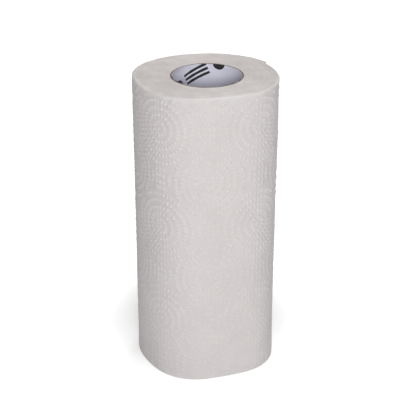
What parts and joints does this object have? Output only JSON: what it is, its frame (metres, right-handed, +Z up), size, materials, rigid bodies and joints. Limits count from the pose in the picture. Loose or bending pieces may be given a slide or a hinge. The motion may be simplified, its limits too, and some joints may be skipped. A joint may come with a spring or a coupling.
{
  "type": "paper towel roll",
  "caption": "Roll of embossed white kitchen towel wound on a lined board core, standing on its end, soft and slightly pressed out of round, with the sheet's loose tail at the back.",
  "frame": {"origin": "centre of the core's bore, on the end that the roll stands on", "axes": "+Z up along the core, +X to the right in the picture's view, +Y away from its camera"},
  "size_m": [0.1041, 0.0966, 0.225],
  "materials": {
    "towel_paper": "soft matt embossed tissue",
    "core_board": "matt brown board",
    "core_liner": "matt white paper with black print"
  },
  "bodies": {
    "root": {"towel_paper": "towel_paper", "core_board": "core_board", "core_liner": "core_liner"}
  },
  "joints": []
}
